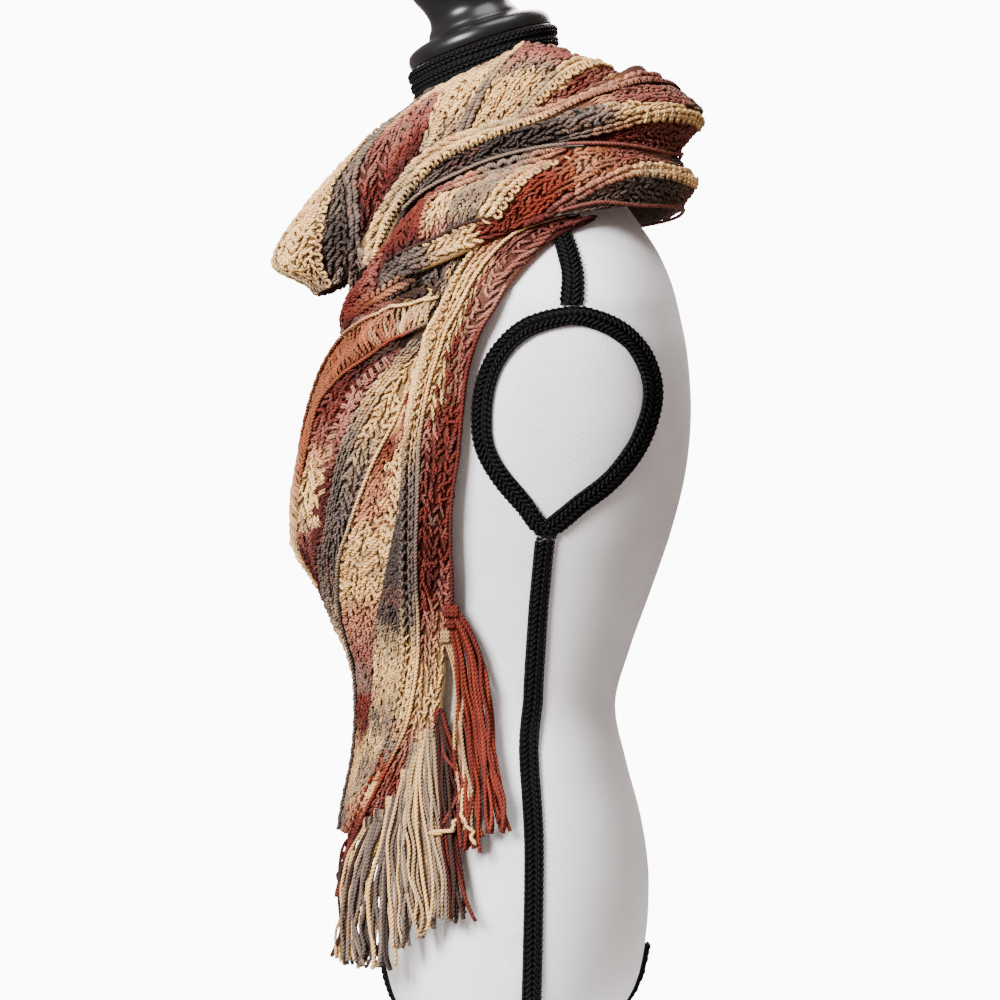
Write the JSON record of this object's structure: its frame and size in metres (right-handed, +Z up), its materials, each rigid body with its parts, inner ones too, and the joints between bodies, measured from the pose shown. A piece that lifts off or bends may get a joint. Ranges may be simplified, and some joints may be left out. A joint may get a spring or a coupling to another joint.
{
  "type": "ribbed crochet cowl scarf wound on a limbless dress form",
  "caption": "Chunky ribbed crochet scarf wound round the neck as a cowl, with fringed hanging ends, on a limbless dress form with a turned neck cap and foot.",
  "frame": {"origin": "centre of the underside of the dress form's foot", "axes": "+Z up, -Y towards the front of the dress form, +X towards its left side"},
  "size_m": [0.3482, 0.3615, 0.9444],
  "materials": {
    "crochet_yarn": "matte self-striping yarn in cream, peach, rust, maroon, taupe and grey, ribbed crochet",
    "fringe_yarn": "matte loose yarn strands",
    "linen": "matte white linen cover",
    "black_braid": "matte gimp braid",
    "black_wood": "semi-gloss black lacquer"
  },
  "bodies": {
    "root": {"form_torso": "linen", "form_neck_cap": "black_wood", "form_base": "black_wood", "braid_neck": "black_braid", "braid_armhole_left": "black_braid", "braid_armhole_right": "black_braid", "braid_shoulder_left": "black_braid", "braid_shoulder_right": "black_braid", "braid_side_left": "black_braid", "braid_side_right": "black_braid", "braid_front": "black_braid", "braid_back": "black_braid", "wrap_inner": "crochet_yarn", "wrap_outer_upper": "crochet_yarn", "wrap_outer_lower": "crochet_yarn", "tail_left": "crochet_yarn", "tail_right": "crochet_yarn", "fringe_left": "fringe_yarn", "fringe_right": "fringe_yarn"}
  },
  "joints": []
}
